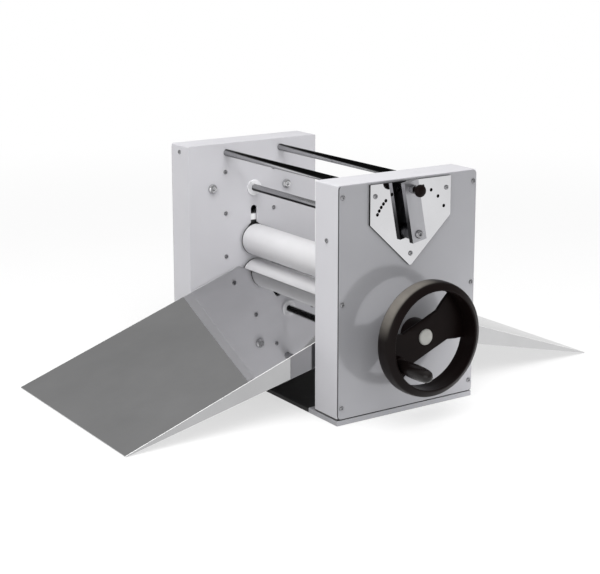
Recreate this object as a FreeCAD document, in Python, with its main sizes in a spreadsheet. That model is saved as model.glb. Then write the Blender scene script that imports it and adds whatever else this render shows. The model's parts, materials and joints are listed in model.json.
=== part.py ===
import FreeCAD, Part
import math
import os
import re

import Sketcher
from FreeCAD import Placement, Rotation, Vector

# Manual benchtop dough sheeter: two roller housings, a handwheel, a thickness lever and two polished trays.
# X runs along the rollers towards the handwheel, Y along the dough's path, Z up from the table.
# The origin is on the table, under the rollers, midway between the housings.

# Driving dimensions in millimetres and degrees
SIZES = {
    "half_gap": 160,
    "housing_width": 50,
    "housing_length": 220,
    "housing_height": 300,
    "plinth_height": 6.8,
    "gasket_thickness": 1.2,
    "gasket_setback": 2,
    "plinth_lip": 15,
    "plinth_setback": 1,
    "base_thickness": 6,
    "inner_wall": 3,
    "shell_wall": 3,
    "shell_corner": 2,
    "cover_thickness": 2,
    "cover_corner": 5,
    "cover_inset": 0.6,
    "screw_radius": 3.2,
    "screw_height": 1.5,
    "screw_margin": 15,
    "screw_edge": 6,
    "left_face_screw_drop": 10.5,
    "right_face_screw_drop": 72.5,
    "roller_radius": 23.1,
    "roller_end_gap": 3,
    "lower_height": 108.5,
    "roller_rise": 52.5,
    "core_radius": 10,
    "journal_radius": 7,
    "running_gap": 0.05,
    "clear_gap": 0.5,
    "thread_spare": 2,
    "cut_over": 1,
    "seal_thickness": 1,
    "seal_rim": 0.3,
    "bush_radius": 11,
    "bush_flange": 14,
    "bush_flange_thickness": 3,
    "bush_length": 12,
    "tie_radius": 5,
    "tie_spread": 46.5,
    "tie_drop": 13.5,
    "stud_radius": 3,
    "nut_radius": 5.8,
    "nut_thickness": 5,
    "adjuster_radius": 5,
    "adjuster_rise": 77.4,
    "adjuster_bush_radius": 9,
    "adjuster_flange_radius": 11.5,
    "adjuster_flange_thickness": 2,
    "bridge_gap": 1,
    "bridge_thickness": 5,
    "bridge_half_length": 80,
    "bridge_half_height": 9,
    "bridge_bolt_spread": 64,
    "fastener_shift": -7,
    "front_bolt_rise": 5,
    "spacer_radius": 5,
    "dome_radius": 7,
    "dome_height": 5,
    "block_gap": 1,
    "block_thickness": 25,
    "block_half_width": 32,
    "block_drop": 23,
    "slide_gap": 0.2,
    "rail_width": 19,
    "rail_drop": 29,
    "rail_headroom": 20.5,
    "rail_screw_inset": 8,
    "rail_screw_rise": 43.5,
    "follower_shank": 4,
    "follower_depth": 10,
    "follower_head": 8,
    "follower_head_height": 9,
    "locknut_radius": 8,
    "locknut_thickness": 4,
    "follower_gap": 0.3,
    "follower_slack": 1,
    "window_width": 11,
    "cam_rest": 26.4,
    "slot_gap": 1.5,
    "lift_per_radian": 3.9,
    "lever_thin_angle": 74,
    "lever_thick_angle": 51,
    "cam_width": 12,
    "cam_spare_angle": 6,
    "cam_back": 11,
    "spring_spread": 24,
    "seat_margin": 6,
    "spring_radius": 4.6,
    "wire_radius": 0.9,
    "spring_turns": 5,
    "spring_steps": 12,
    "seat_gap": 2.5,
    "seat_thickness": 8,
    "gear_tip": 28.7,
    "gear_root": 18.3,
    "gear_teeth": 12,
    "tooth_root_half": 2.5,
    "tooth_tip_half": 1,
    "gear_gap": 2,
    "gear_width": 12,
    "tray_rod_radius": 4,
    "tray_rod_spread": 30,
    "tray_rod_rise": 9.5,
    "tray_sheet": 1.5,
    "tray_fit": 0.1,
    "front_tray_reach": 380,
    "rear_tray_reach": 374,
    "tray_side_gap": 4,
    "tray_hook_angle": 165,
    "skirt_inner": 62,
    "skirt_depth": 38,
    "index_thickness": 3,
    "index_half_width": 64,
    "index_rise": 66.6,
    "index_shoulder_rise": 15.6,
    "index_drop": 42.4,
    "index_tip_half": 1.5,
    "index_radius": 60,
    "index_hole": 2.3,
    "lever_tilt": 11,
    "lever_standoff": 9.5,
    "lever_thickness": 7,
    "lever_half_width": 11,
    "lever_tail": 9,
    "lever_length": 70,
    "lever_hub_radius": 9,
    "lever_screw_radius": 5.5,
    "lever_screw_height": 3,
    "pin_radius": 2,
    "pin_gap": 0.3,
    "barrel_radius": 6,
    "barrel_length": 6,
    "knob_neck": 3.5,
    "knob_neck_length": 5,
    "knob_radius": 8,
    "knob_length": 9,
    "wheel_radius": 75,
    "rim_inner": 64,
    "rim_offset": 30,
    "rim_depth": 28.5,
    "rim_shoulder": 4,
    "rim_front_taper": 4.5,
    "rim_lip": 1.6,
    "rim_overlap": 2,
    "web_offset": 31,
    "web_thickness": 5,
    "window_inset": 0.5,
    "spoke_half_width": 22.3,
    "spoke_half_length": 33.5,
    "web_corner": 3,
    "spoke_angle": 22.3,
    "hub_radius": 20,
    "hub_offset": 8,
    "hub_length": 28,
    "cap_radius": 10.5,
    "cap_thickness": 2,
    "handle_angle": 212,
    "handle_throw": 53,
    "handle_boss_radius": 10,
    "handle_boss_rise": 7,
    "spindle_radius": 4,
    "spindle_length": 48,
    "grip_gap": 0.4,
    "grip_length": 60,
    "grip_base": 7,
    "grip_belly": 9.5,
    "grip_neck": 8,
}

# Index holes of the plate, in degrees from upright, towards the in-feed side first
IN_FEED_HOLES = (62, 57, 52, 47, 42, 31, 20, 11)
OUT_FEED_HOLES = (4, 18, 32, 46, 62)

SIDES = {"left": -1, "right": 1}
ENDS = {"front": -1, "rear": 1}
TURN = {"X": Rotation(Vector(0, 1, 0), 90), "Y": Rotation(Vector(1, 0, 0), -90), "Z": Rotation()}
TURN_BACK = {"X": Rotation(Vector(0, 1, 0), -90), "Y": Rotation(Vector(1, 0, 0), 90)}

doc = FreeCAD.newDocument("DoughSheeter")
sheet = doc.addObject("Spreadsheet::Sheet", "Sizes")
for row, (alias, value) in enumerate(SIZES.items(), start=1):
    sheet.set(f"A{row}", alias)
    sheet.set(f"B{row}", str(value))
    sheet.setAlias(f"B{row}", alias)
doc.recompute()

nodes = []


# Helpers for expressions, primitives and booleans

def size(alias):
    return float(sheet.get(alias))


def bound(text):
    """Point every size named in an expression at its cell of the sheet."""
    def tied(word):
        return f"Sizes.{word.group()}" if word.group() in SIZES else word.group()

    return re.sub(r"[a-z_]+", tied, text)


def place(piece, at, turn=Rotation()):
    piece.Placement = Placement(Vector(), turn)
    for letter, text in zip("xyz", at):
        piece.setExpression(f".Placement.Base.{letter}", bound(text))
    return piece


def made(kind, name, at, turn, **sizes):
    piece = doc.addObject(kind, name)
    for prop, text in sizes.items():
        piece.setExpression(prop, bound(text))
    return place(piece, at, turn)


def box(name, length, width, height, at):
    return made("Part::Box", name, at, Rotation(), Length=length, Width=width, Height=height)


def rod(name, radius, length, at, axis="X"):
    return made("Part::Cylinder", name, at, TURN[axis], Radius=radius, Height=length)


def taper(name, base, tip, length, at, turn):
    return made("Part::Cone", name, at, turn, Radius1=base, Radius2=tip, Height=length)


def hexagon(name, radius, length, at, turn):
    piece = made("Part::Prism", name, at, turn, Circumradius=radius, Height=length)
    piece.Polygon = 6
    return piece


def fuse(name, *pieces):
    whole = doc.addObject("Part::MultiFuse", name)
    whole.Shapes = list(pieces)
    whole.Refine = True
    return whole


def cut(name, base, *tools):
    rest = doc.addObject("Part::Cut", name)
    rest.Base = base
    rest.Tool = tools[0] if len(tools) == 1 else fuse(f"{name}_tools", *tools)
    return rest


def group(name, pieces):
    whole = doc.addObject("Part::Compound", name)
    whole.Links = list(pieces)
    return whole


def rounded(name, base, radius, chosen):
    """Round the edges of a Part object that the test picks."""
    doc.recompute()
    piece = doc.addObject("Part::Fillet", name)
    piece.Base = base
    edges = enumerate(base.Shape.Edges, start=1)
    piece.Edges = [(number, size(radius), size(radius)) for number, edge in edges if chosen(edge)]
    return piece


def node(name, piece):
    piece.Label = name
    nodes.append(piece)
    return piece


def low_x(side, near, far):
    """Lower X of a stretch from near to far out on one side."""
    return near if side > 0 else f"-({far})"


def side_rod(name, side, radius, near, far, y="0", z="0"):
    return rod(name, radius, f"({far}) - ({near})", (low_x(side, near, far), y, z))


def side_box(name, side, near, far, y_low, width, z_low, height):
    return box(name, f"({far}) - ({near})", width, height, (low_x(side, near, far), y_low, z_low))


def tube(name, side, outer, inner, near, far, y="0", z="0"):
    outside = side_rod(f"{name}_outside", side, outer, near, far, y, z)
    inside = side_rod(f"{name}_inside", side, inner, near, far, y, z)
    return cut(name, outside, inside)


def button(name, direction, at, axis="X", radius="screw_radius", height="screw_height"):
    """Screw head that stands on a face, narrowing outwards."""
    turn = TURN[axis] if direction > 0 else TURN_BACK[axis]
    return taper(name, radius, f"0.7 * ({radius})", height, at, turn)


# Helpers for sketched bodies

def plane_of(body, role):
    return next(item for item in body.Origin.OriginFeatures if item.Role == role)


def sketch_on(body, role, offset="0"):
    drawing = body.newObject("Sketcher::SketchObject", f"{body.Name}_sketch")
    drawing.AttachmentSupport = (plane_of(body, role), [""])
    drawing.MapMode = "FlatFace"
    drawing.setExpression("AttachmentOffset.Base.z", bound(offset))
    return drawing


def draw_polygon(drawing, points):
    """Closed outline whose corners are tied to expressions."""
    doc.recompute()
    first = drawing.GeometryCount
    count = len(points)
    spots = [tuple(float(drawing.evalExpression(bound(text))) for text in point) for point in points]
    for here, there in zip(spots, spots[1:] + spots[:1]):
        drawing.addGeometry(Part.LineSegment(Vector(*here, 0), Vector(*there, 0)), False)
    for index in range(count):
        line = first + index
        drawing.addConstraint(Sketcher.Constraint("Coincident", line, 2, first + (index + 1) % count, 1))
        for kind, value, text in zip(("DistanceX", "DistanceY"), spots[index], points[index]):
            number = drawing.addConstraint(Sketcher.Constraint(kind, -1, 1, line, 1, value))
            drawing.setExpression(f"Constraints[{number}]", bound(text))


def draw_circle(drawing, radius, x="0", y="0"):
    doc.recompute()
    spot = [float(drawing.evalExpression(bound(text))) for text in (x, y)]
    reach = float(drawing.evalExpression(bound(radius)))
    circle = drawing.addGeometry(Part.Circle(Vector(*spot, 0), Vector(0, 0, 1), reach), False)
    for kind, value, text in zip(("DistanceX", "DistanceY"), spot, (x, y)):
        number = drawing.addConstraint(Sketcher.Constraint(kind, -1, 1, circle, 3, value))
        drawing.setExpression(f"Constraints[{number}]", bound(text))
    number = drawing.addConstraint(Sketcher.Constraint("Radius", circle, reach))
    drawing.setExpression(f"Constraints[{number}]", bound(radius))


def feature(body, kind, drawing, **sizes):
    step = body.newObject(kind, f"{body.Name}_{kind.split('::')[1]}")
    step.Profile = drawing
    for prop, text in sizes.items():
        step.setExpression(prop, bound(text))
    return step


def plate(name, points, thickness, offset, holes=()):
    """Flat plate across X from an outline in Y and Z, with round holes given as (y, z, radius)."""
    body = doc.addObject("PartDesign::Body", name)
    drawing = sketch_on(body, "YZ_Plane", offset)
    draw_polygon(drawing, points)
    for y, z, radius in holes:
        draw_circle(drawing, radius, y, z)
    feature(body, "PartDesign::Pad", drawing, Length=thickness)
    doc.recompute()
    return body


def turned(name, points, at):
    """Body of revolution about X from an outline in X and radius."""
    body = doc.addObject("PartDesign::Body", name)
    drawing = sketch_on(body, "XZ_Plane")
    draw_polygon(drawing, points)
    step = feature(body, "PartDesign::Revolution", drawing)
    step.ReferenceAxis = (plane_of(body, "X_Axis"), [""])
    step.Angle = 360
    place(body, at)
    doc.recompute()
    return body


# Shared positions, as expressions

FLOOR_OF_HOUSING = "plinth_height + gasket_thickness"
TOP_OF_HOUSING = "plinth_height + gasket_thickness + housing_height"
TIE_HEIGHT = f"({TOP_OF_HOUSING} - tie_drop)"
UPPER_HEIGHT = "(lower_height + roller_rise)"
ADJUSTER_HEIGHT = f"({UPPER_HEIGHT} + adjuster_rise)"
TRAY_ROD_HEIGHT = "(lower_height + tray_rod_rise)"
SEAT_TOP = "(lower_height - bush_flange - seat_gap)"
COVER_FACE = "half_gap + housing_width"
COVER_SEAT = "half_gap + housing_width - cover_thickness"
WALL_BACK = "half_gap + inner_wall"
ROLLER_END = "half_gap - roller_end_gap"
HALF_LENGTH = "housing_length / 2"
BLOCK_NEAR = f"({WALL_BACK} + block_gap)"
BLOCK_FAR = f"({BLOCK_NEAR} + block_thickness)"
BLOCK_MIDDLE = f"({BLOCK_NEAR} + block_thickness / 2)"
FOLLOWER_TOP = f"({ADJUSTER_HEIGHT} - cam_rest)"
BLOCK_TOP = f"({FOLLOWER_TOP} - follower_head_height - locknut_thickness - follower_slack)"
BLOCK_BOTTOM = f"({UPPER_HEIGHT} - block_drop)"
BRIDGE_NEAR = f"({BLOCK_FAR} + bridge_gap)"
BRIDGE_FAR = f"({BRIDGE_NEAR} + bridge_thickness)"
GEAR_NEAR = f"({BLOCK_FAR} + gear_gap)"
GEAR_FAR = f"({GEAR_NEAR} + gear_width)"
RAIL_NEAR = "block_half_width + slide_gap"
RAIL_MIDDLE = "block_half_width + slide_gap + rail_width / 2"
RAIL_BOTTOM = f"({UPPER_HEIGHT} - rail_drop)"
RAIL_TOP = f"({TIE_HEIGHT} - rail_headroom)"
RAIL_SCREW_HEIGHTS = {
    "low": f"{RAIL_BOTTOM} + rail_screw_inset",
    "middle": f"{UPPER_HEIGHT} + rail_screw_rise",
    "high": f"{RAIL_TOP} - rail_screw_inset",
}
INDEX_FACE = f"{COVER_FACE} + index_thickness"
LEVER_BACK = f"{INDEX_FACE} + lever_standoff"
LEVER_FACE = f"{LEVER_BACK} + lever_thickness"


def on_circle(radius, angle, y="0", z="0"):
    """Point at an angle from +Y towards +Z, as expressions."""
    return f"({y}) + ({radius}) * cos({angle})", f"({z}) + ({radius}) * sin({angle})"


# Base and housings

def base():
    span = "2 * (half_gap - plinth_lip)"
    node("base_plate", box("base_plate", span, "housing_length", "base_thickness",
                           ("plinth_lip - half_gap", f"-{HALF_LENGTH}", "0")))
    for word, side in SIDES.items():
        rail = side_box(f"{word}_plinth_rail", side, "half_gap - plinth_lip",
                        f"{COVER_FACE} - plinth_setback", f"-{HALF_LENGTH}", "housing_length",
                        "0", "plinth_height")
        node(f"{word}_plinth_rail", rail)
    gaskets = [side_box(f"{word}_gasket", side, "half_gap + gasket_setback", f"{COVER_FACE} - gasket_setback",
                        f"gasket_setback - {HALF_LENGTH}", "housing_length - 2 * gasket_setback",
                        "plinth_height", "gasket_thickness") for word, side in SIDES.items()]
    node("plinth_gaskets", group("plinth_gaskets", gaskets))


def housing_shell(word, side):
    name = f"{word}_housing_shell"
    block = side_box(f"{name}_block", side, "half_gap", COVER_SEAT, f"-{HALF_LENGTH}", "housing_length",
                     FLOOR_OF_HOUSING, "housing_height")
    soft = rounded(f"{name}_soft", block, "shell_corner", is_outer_corner)
    hollow = side_box(f"{name}_hollow", side, WALL_BACK, f"{COVER_SEAT} + cut_over",
                      f"shell_wall - {HALF_LENGTH}", "housing_length - 2 * shell_wall",
                      f"{FLOOR_OF_HOUSING} + shell_wall", "housing_height - 2 * shell_wall")
    through = ("half_gap - cut_over", f"{WALL_BACK} + cut_over")
    holes = [side_rod(f"{name}_adjuster", side, "adjuster_bush_radius", *through, "0", ADJUSTER_HEIGHT),
             side_rod(f"{name}_bearing", side, "bush_radius", *through, "0", "lower_height")]
    for end, sign in ENDS.items():
        holes.append(side_rod(f"{name}_{end}_tie", side, "stud_radius", *through,
                              f"{sign} * tie_spread", TIE_HEIGHT))
        holes.append(side_rod(f"{name}_{end}_bolt", side, "stud_radius", *through, *bolt_spot(sign)))
        holes.append(side_rod(f"{name}_{end}_rod", side, "tray_rod_radius", *through,
                              f"{sign} * tray_rod_spread", TRAY_ROD_HEIGHT))
    half_slot = "(journal_radius + slot_gap)"
    low = f"({UPPER_HEIGHT} - lift_per_radian * lever_thin_angle * pi / 180)"
    high = f"({UPPER_HEIGHT} + lift_per_radian * lever_thick_angle * pi / 180)"
    holes.append(side_rod(f"{name}_slot_low", side, half_slot, *through, "0", low))
    holes.append(side_rod(f"{name}_slot_high", side, half_slot, *through, "0", high))
    holes.append(side_box(f"{name}_slot", side, *through, f"-{half_slot}", f"2 * {half_slot}",
                          low, f"{high} - {low}"))
    crown = f"({FOLLOWER_TOP} - window_width / 2)"
    holes.append(side_rod(f"{name}_window_top", side, "window_width / 2", *through, "0", crown))
    holes.append(side_box(f"{name}_window", side, *through, "-window_width / 2", "window_width", high,
                          f"{crown} - {high}"))
    node(name, cut(name, soft, hollow, *holes))


def is_outer_corner(edge):
    """Upright and level edges along X of a housing, where the sheet is folded."""
    ends = [vertex.Point for vertex in edge.Vertexes]
    floor = size("plinth_height") + size("gasket_thickness")
    return runs_along_x(edge) and ends[0].z > floor + size("shell_corner")


def runs_along_x(edge):
    return edge.Curve.TypeId == "Part::GeomLine" and abs(edge.tangentAt(edge.FirstParameter).x) > 0.9


def bolt_spot(sign):
    """Y and Z of a bridge bolt, which sits higher on the in-feed side."""
    height = ADJUSTER_HEIGHT if sign > 0 else f"{ADJUSTER_HEIGHT} + front_bolt_rise"
    return f"{sign} * bridge_bolt_spread + fastener_shift", height


def cover_plate(word, side):
    name = f"{word}_cover_plate"
    panel = side_box(f"{name}_panel", side, COVER_SEAT, COVER_FACE, f"cover_inset - {HALF_LENGTH}",
                     "housing_length - 2 * cover_inset", f"{FLOOR_OF_HOUSING} + cover_inset",
                     "housing_height - 2 * cover_inset")
    soft = rounded(f"{name}_soft", panel, "cover_corner", runs_along_x)
    if side < 0:
        return node(name, soft)
    through = (f"{COVER_SEAT} - cut_over", f"{COVER_FACE} + cut_over")
    holes = [side_rod(f"{name}_shaft", side, "adjuster_radius + clear_gap", *through, "0", ADJUSTER_HEIGHT),
             side_rod(f"{name}_drive", side, "journal_radius + clear_gap", *through, "0", "lower_height")]
    return node(name, cut(name, soft, *holes))


def cover_screws(word, side):
    start = COVER_FACE if side > 0 else f"-({COVER_FACE})"
    reach = f"({HALF_LENGTH} - screw_edge)"
    rows = {"low": f"{FLOOR_OF_HOUSING} + screw_margin", "middle": f"{FLOOR_OF_HOUSING} + housing_height / 2",
            "high": f"{TOP_OF_HOUSING} - screw_margin"}
    heads = []
    for end, sign in ENDS.items():
        for row_name, height in rows.items():
            name = f"{word}_{end}_{row_name}_cover_screw"
            heads.append(button(name, side, (start, f"{sign} * {reach}", height)))
    return heads


def face_screws():
    """Small screws on the narrow end faces that hold the folded shell to the frame."""
    heads = []
    for word, side in SIDES.items():
        for end, sign in ENDS.items():
            x = f"{side} * (half_gap + housing_width / 2)"
            z = f"{TOP_OF_HOUSING} - {word}_face_screw_drop"
            name = f"{word}_{end}_face_screw"
            heads.append(button(name, sign, (x, f"{sign} * {HALF_LENGTH}", z), "Y"))
    node("face_screws", group("face_screws", heads))


# Cross rods, bridges and bearings of the frame

def tie_rods():
    nuts = []
    for end, sign in ENDS.items():
        y = f"{sign} * tie_spread"
        name = f"{end}_tie_rod"
        bar = rod(f"{name}_bar", "tie_radius", "2 * half_gap", ("-half_gap", y, TIE_HEIGHT))
        reach = f"({WALL_BACK} + nut_thickness + thread_spare)"
        stud = rod(f"{name}_stud", "stud_radius", f"2 * {reach}", (f"-{reach}", y, TIE_HEIGHT))
        node(name, fuse(name, bar, stud))
        for word, side in SIDES.items():
            start = WALL_BACK if side > 0 else f"-({WALL_BACK})"
            turn = TURN["X"] if side > 0 else TURN_BACK["X"]
            nut = hexagon(f"{word}_{end}_nut", "nut_radius", "nut_thickness", (start, y, TIE_HEIGHT), turn)
            bore = side_rod(f"{word}_{end}_nut_bore", side, "stud_radius", WALL_BACK, reach, y, TIE_HEIGHT)
            nuts.append(cut(f"{word}_{end}_tie_nut", nut, bore))
    node("tie_rod_nuts", group("tie_rod_nuts", nuts))


def tray_rods():
    for end, sign in ENDS.items():
        name = f"{end}_tray_rod"
        reach = f"({WALL_BACK} + thread_spare)"
        node(name, rod(name, "tray_rod_radius", f"2 * {reach}",
                       (f"-{reach}", f"{sign} * tray_rod_spread", TRAY_ROD_HEIGHT)))


def adjuster_bush(word, side):
    name = f"{word}_adjuster_bush"
    front = "half_gap - adjuster_flange_thickness"
    centre = ("0", ADJUSTER_HEIGHT)
    sleeve = side_rod(f"{name}_sleeve", side, "adjuster_bush_radius", "half_gap", WALL_BACK, *centre)
    flange = side_rod(f"{name}_flange", side, "adjuster_flange_radius", front, "half_gap", *centre)
    bore = side_rod(f"{name}_bore", side, "adjuster_radius + running_gap", front, WALL_BACK, *centre)
    return cut(name, fuse(f"{name}_body", sleeve, flange), bore)


def cam_bridge(word, side):
    """Outer support of the adjuster shaft, carried on two spacers."""
    name = f"{word}_cam_bridge"
    bar = side_box(f"{name}_bar", side, BRIDGE_NEAR, BRIDGE_FAR, "-bridge_half_length",
                   "2 * bridge_half_length", f"{ADJUSTER_HEIGHT} - bridge_half_height",
                   "2 * bridge_half_height")
    holes = [side_rod(f"{name}_shaft", side, "adjuster_radius + running_gap", BRIDGE_NEAR, BRIDGE_FAR,
                      "0", ADJUSTER_HEIGHT)]
    for end, sign in ENDS.items():
        holes.append(side_rod(f"{name}_{end}", side, "stud_radius", BRIDGE_NEAR, BRIDGE_FAR,
                              *bolt_spot(sign)))
    node(name, cut(name, bar, *holes))


def bridge_bolts():
    """Domed bolts seen on the inner faces, with the spacers and nuts behind."""
    bolts = []
    spacers = []
    nuts = []
    for word, side in SIDES.items():
        for end, sign in ENDS.items():
            name = f"{word}_{end}_bridge"
            spot = bolt_spot(sign)
            far = f"{BRIDGE_FAR} + nut_thickness + thread_spare"
            outward, inward = (TURN, TURN_BACK) if side > 0 else (TURN_BACK, TURN)
            head_start = "half_gap" if side > 0 else "-half_gap"
            head = taper(f"{name}_head", "dome_radius", "0.45 * dome_radius", "dome_height",
                         (head_start, *spot), inward["X"])
            shank = side_rod(f"{name}_shank", side, "stud_radius", "half_gap", far, *spot)
            bolts.append(fuse(f"{name}_bolt", head, shank))
            spacers.append(tube(f"{name}_spacer", side, "spacer_radius", "stud_radius", WALL_BACK,
                                BRIDGE_NEAR, *spot))
            nut_start = BRIDGE_FAR if side > 0 else f"-({BRIDGE_FAR})"
            nut = hexagon(f"{name}_nut_body", "nut_radius", "nut_thickness", (nut_start, *spot), outward["X"])
            bore = side_rod(f"{name}_nut_bore", side, "stud_radius", BRIDGE_FAR, far, *spot)
            nuts.append(cut(f"{name}_nut", nut, bore))
    node("bridge_bolts", group("bridge_bolts", bolts))
    node("bridge_spacers", group("bridge_spacers", spacers))
    node("bridge_nuts", group("bridge_nuts", nuts))


def lower_bearing(word, side):
    name = f"{word}_lower_bearing"
    far = "half_gap + bush_length"
    centre = ("0", "lower_height")
    sleeve = side_rod(f"{name}_sleeve", side, "bush_radius", "half_gap", far, *centre)
    flange = side_rod(f"{name}_flange", side, "bush_flange", WALL_BACK,
                      f"{WALL_BACK} + bush_flange_thickness", *centre)
    bore = side_rod(f"{name}_bore", side, "journal_radius + running_gap", "half_gap", far, *centre)
    node(name, cut(name, fuse(f"{name}_body", sleeve, flange), bore))


def guide_rails(word, side):
    """Two uprights between which the bearing block slides."""
    rails = []
    for end, sign in ENDS.items():
        y_low = RAIL_NEAR if sign > 0 else f"-({RAIL_NEAR}) - rail_width"
        rails.append(side_box(f"{word}_{end}_rail", side, WALL_BACK, BLOCK_FAR, y_low, "rail_width",
                              RAIL_BOTTOM, f"{RAIL_TOP} - {RAIL_BOTTOM}"))
    node(f"{word}_guide_rails", group(f"{word}_guide_rails", rails))


def rail_screws(word, side):
    heads = []
    start = "half_gap" if side > 0 else "-half_gap"
    for end, sign in ENDS.items():
        for row_name, height in RAIL_SCREW_HEIGHTS.items():
            name = f"{word}_{end}_{row_name}_rail_screw"
            y = f"{sign} * ({RAIL_MIDDLE}) + fastener_shift"
            heads.append(button(name, -side, (start, y, height)))
    return heads


def spring_seat(word, side):
    name = f"{word}_spring_seat"
    half = "(spring_spread + spring_radius + seat_margin)"
    return side_box(name, side, WALL_BACK, BLOCK_FAR, f"-{half}", f"2 * {half}",
                    f"{SEAT_TOP} - seat_thickness", "seat_thickness")


def block_middle():
    """Distance of the bearing blocks' middle from the centre of the machine."""
    near = size("half_gap") + size("inner_wall") + size("block_gap")
    return near + size("block_thickness") / 2


def lift_springs(word, side):
    """Pair of coil springs that hold the bearing block up against its cam."""
    wire = size("wire_radius")
    radius = size("spring_radius")
    low = size("lower_height") - size("bush_flange") - size("seat_gap") + wire
    high = size("lower_height") + size("roller_rise") - size("block_drop") - wire
    middle = side * block_middle()
    steps = int(size("spring_turns") * size("spring_steps"))
    pitch_step = (high - low) / steps
    coils = []
    for sign in ENDS.values():
        sections = []
        for step in range(steps + 1):
            turn = Rotation(Vector(0, 0, 1), step * 360 / size("spring_steps"))
            spots = [Vector(radius + wire * math.cos(corner), 0, wire * math.sin(corner))
                     for corner in (math.pi * number / 3 for number in range(7))]
            centre = Vector(middle, sign * size("spring_spread"), low + step * pitch_step)
            sections.append(Part.makePolygon([centre + turn.multVec(spot) for spot in spots]))
        coils.append(Part.makeLoft(sections, True, True))
    springs = doc.addObject("Part::Feature", f"{word}_lift_springs")
    springs.Shape = Part.makeCompound(coils)
    node(f"{word}_lift_springs", springs)


# Rollers and gears

def roller(word, height):
    sleeve_reach = f"({ROLLER_END} - seal_thickness)"
    start = (f"-{sleeve_reach}", "0", height)
    sleeve = rod(f"{word}_sleeve_body", "roller_radius", f"2 * {sleeve_reach}", start)
    core = rod(f"{word}_sleeve_bore", "core_radius", f"2 * {sleeve_reach}", start)
    node(f"{word}_roller_sleeve", cut(f"{word}_roller_sleeve", sleeve, core))
    seals = [tube(f"{word}_{side_word}_seal", side, "roller_radius + seal_rim", "core_radius", sleeve_reach,
                  ROLLER_END, "0", height) for side_word, side in SIDES.items()]
    node(f"{word}_end_seals", group(f"{word}_end_seals", seals))


def roller_shaft(word, height, right_end):
    name = f"{word}_roller_shaft"
    core = rod(f"{name}_core", "core_radius", f"2 * ({ROLLER_END})", (f"-({ROLLER_END})", "0", height))
    journal = rod(f"{name}_journal", "journal_radius", f"{GEAR_FAR} + ({right_end})",
                  (f"-({GEAR_FAR})", "0", height))
    node(name, fuse(name, core, journal))


def long_tooth_gear(word, height, first_angle):
    """Gear with tall thin teeth that stay in mesh while the rollers part."""
    name = f"{word}_gear"
    body = doc.addObject("PartDesign::Body", name)
    disc = sketch_on(body, "YZ_Plane", f"-({GEAR_FAR})")
    draw_circle(disc, "gear_root")
    draw_circle(disc, "journal_radius")
    feature(body, "PartDesign::Pad", disc, Length="gear_width")
    tooth = sketch_on(body, "YZ_Plane", f"-({GEAR_FAR})")
    foot = "gear_root - clear_gap"
    draw_polygon(tooth, [("-tooth_root_half", foot), ("tooth_root_half", foot),
                         ("tooth_tip_half", "gear_tip"), ("-tooth_tip_half", "gear_tip")])
    first = feature(body, "PartDesign::Pad", tooth, Length="gear_width")
    doc.recompute()
    ring = body.newObject("PartDesign::PolarPattern", f"{name}_ring")
    ring.Originals = [first]
    ring.Axis = (tooth, ["N_Axis"])
    ring.Angle = 360
    ring.setExpression("Occurrences", bound("gear_teeth"))
    body.Tip = ring
    place(body, ("0", "0", height), Rotation(Vector(1, 0, 0), first_angle))
    node(name, body)


def bearing_block(word, side):
    """Sliding block of the upper roller."""
    name = f"{word}_bearing_block"
    block = side_box(f"{name}_body", side, BLOCK_NEAR, BLOCK_FAR, "-block_half_width",
                     "2 * block_half_width", BLOCK_BOTTOM, f"{BLOCK_TOP} - {BLOCK_BOTTOM}")
    bore = side_rod(f"{name}_bore", side, "bush_radius", BLOCK_NEAR, BLOCK_FAR, "0", UPPER_HEIGHT)
    middle = BLOCK_MIDDLE if side > 0 else f"-({BLOCK_MIDDLE})"
    screw_hole = rod(f"{name}_screw_hole", "follower_shank", "follower_depth",
                     (middle, "0", f"{BLOCK_TOP} - follower_depth"), "Z")
    node(name, cut(name, block, bore, screw_hole))


def upper_bush(word, side):
    return tube(f"{word}_upper_bush", side, "bush_radius", "journal_radius + running_gap",
                BLOCK_NEAR, BLOCK_FAR, "0", UPPER_HEIGHT)


def follower(word, side):
    """Set screw under the cam."""
    name = f"{word}_follower_screw"
    x = BLOCK_MIDDLE if side > 0 else f"-({BLOCK_MIDDLE})"
    foot = f"{BLOCK_TOP} - follower_depth"
    neck = f"{FOLLOWER_TOP} - follower_head_height"
    shank = rod(f"{name}_shank", "follower_shank", f"{neck} - ({foot})", (x, "0", foot), "Z")
    head = rod(f"{name}_head", "follower_head", "follower_head_height", (x, "0", neck), "Z")
    node(name, fuse(name, shank, head))


def locknut(word, side):
    x = BLOCK_MIDDLE if side > 0 else f"-({BLOCK_MIDDLE})"
    seat = (x, "0", BLOCK_TOP)
    nut = hexagon(f"{word}_locknut_body", "locknut_radius", "locknut_thickness", seat, TURN["Z"])
    bore = rod(f"{word}_locknut_bore", "follower_shank", "locknut_thickness", seat, "Z")
    return cut(f"{word}_locknut", nut, bore)


# Thickness adjuster: shaft, cams, lever and index plunger

def adjuster_shaft():
    left = f"({BRIDGE_FAR} + thread_spare)"
    node("adjuster_shaft", rod("adjuster_shaft", "adjuster_radius", f"{left} + {LEVER_BACK}",
                               (f"-{left}", "0", ADJUSTER_HEIGHT)))


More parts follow.
